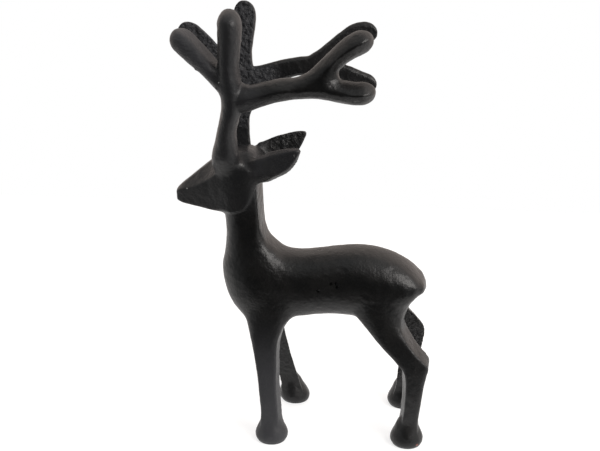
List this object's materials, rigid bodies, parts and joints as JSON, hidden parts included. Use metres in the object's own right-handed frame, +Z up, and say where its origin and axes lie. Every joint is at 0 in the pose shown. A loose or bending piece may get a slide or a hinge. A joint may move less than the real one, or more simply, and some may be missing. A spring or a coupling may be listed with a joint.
{
  "type": "standing reindeer figure",
  "caption": "Standing reindeer figure cast as one solid piece, with swept-back branched antlers, laid-back ears, slim legs and bell-shaped hooves.",
  "frame": {"origin": "on the ground plane under the soles, under the middle of the outline", "axes": "+Z up, -X the way the head faces, -Y the side towards the camera (the animal's left side)"},
  "size_m": [0.1765, 0.0794, 0.2994],
  "materials": {
    "blackened_aluminium": "sand cast, fettled and lightly polished, then blackened to a satin near-black; rougher as-cast inner faces on the antlers, ears and legs, with a few small pits and bright rubbed nicks"
  },
  "bodies": {
    "root": {"reindeer": "blackened_aluminium"}
  },
  "joints": []
}
